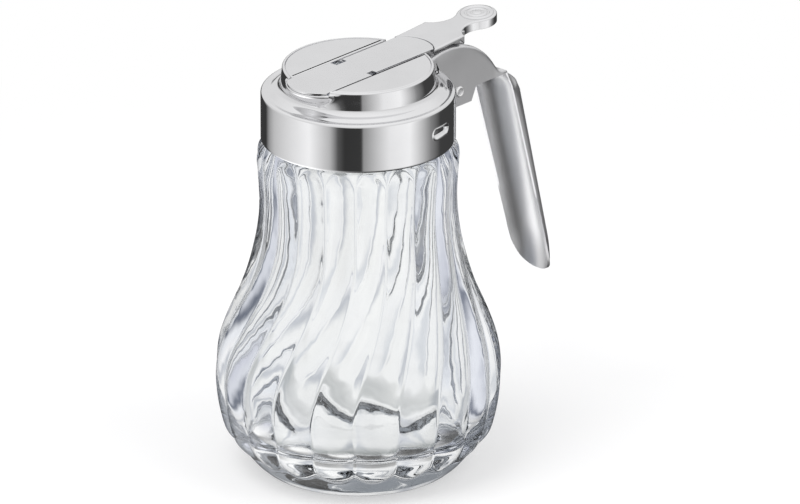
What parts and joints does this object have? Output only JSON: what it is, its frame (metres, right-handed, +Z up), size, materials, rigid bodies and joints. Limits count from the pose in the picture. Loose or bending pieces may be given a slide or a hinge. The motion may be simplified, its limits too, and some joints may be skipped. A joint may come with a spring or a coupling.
{
  "type": "cream dispenser",
  "caption": "Pear-shaped glass cream dispenser with swirled lobes, a steel cap with a sliding pour gate, a thumb lever and a gutter-shaped handle.",
  "frame": {"origin": "centre of the jar's flat base, on the jar's axis", "axes": "+Z up the jar's axis; +X from the axis towards the handle, so the spout points to -X"},
  "size_m": [0.1265, 0.0856, 0.1291],
  "materials": {
    "clear_glass": "clear pressed glass, smooth",
    "polished_steel": "polished stainless steel",
    "satin_steel": "satin polished stainless steel"
  },
  "bodies": {
    "root": {"glass_jar": "clear_glass", "cap": "polished_steel", "rivet": "polished_steel", "handle": "satin_steel"},
    "lever": {"thumb_lever": "polished_steel"},
    "gate": {"pour_gate": "polished_steel"}
  },
  "joints": [
    {"name": "thumb_lever_hinge", "type": "hinge", "parent": "root", "child": "lever", "pos_m": [0.037, 0, 0.1093], "axis": [0, 1, 0], "range_deg": [0, 24], "stiffness_Nm_per_rad": 0.15, "springref_deg": -28.65},
    {"name": "gate_slide", "type": "slide", "parent": "root", "child": "gate", "axis": [1, 0, 0], "range_m": [0, 0.0078]}
  ],
  "couplings": [
    {"joint": "gate_slide", "follows": "thumb_lever_hinge", "m_per_rad": 0.0175}
  ]
}
